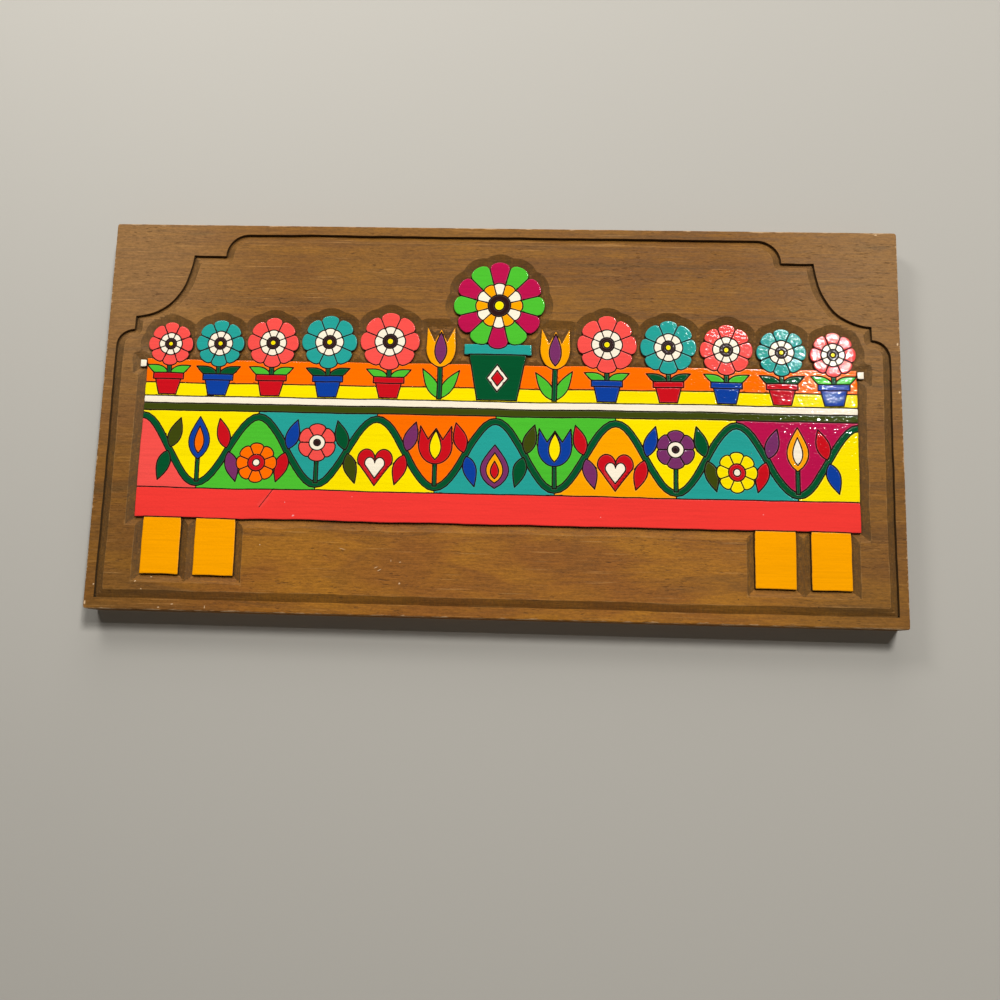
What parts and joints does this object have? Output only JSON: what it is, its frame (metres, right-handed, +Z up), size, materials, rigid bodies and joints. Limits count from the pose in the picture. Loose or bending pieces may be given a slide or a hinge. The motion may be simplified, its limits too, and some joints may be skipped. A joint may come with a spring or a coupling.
{
  "type": "painted wood plaque",
  "caption": "Flat wooden wall plaque carved in low relief and painted: potted flowers along a bench with a vine-patterned front, inside an ogee-cornered frame line.",
  "frame": {"origin": "point on the flat back where the plaque hangs, on the middle line and 35 mm below the top edge", "axes": "+X to the viewer's right along the board's length, +Z up, and the carved face looks towards -Y"},
  "size_m": [0.457, 0.018, 0.228],
  "materials": {
    "stained_wood": "thin brown stain on planed softwood, satin, with open dark pores",
    "enamel_coral": "gloss enamel, brushed",
    "enamel_vermilion": "gloss enamel, brushed",
    "enamel_teal": "gloss enamel, brushed",
    "enamel_blue": "gloss enamel, brushed",
    "enamel_red": "gloss enamel, brushed",
    "enamel_deep_green": "gloss enamel, brushed",
    "enamel_light_green": "gloss enamel, brushed",
    "enamel_olive": "gloss enamel, brushed",
    "enamel_yellow": "gloss enamel, brushed",
    "enamel_amber": "gloss enamel, brushed",
    "enamel_orange": "gloss enamel, brushed",
    "enamel_magenta": "gloss enamel, brushed",
    "enamel_purple": "gloss enamel, brushed",
    "enamel_cream": "gloss enamel, brushed",
    "enamel_brown": "gloss enamel, brushed"
  },
  "bodies": {
    "root": {"carved_board": "stained_wood"}
  },
  "joints": []
}
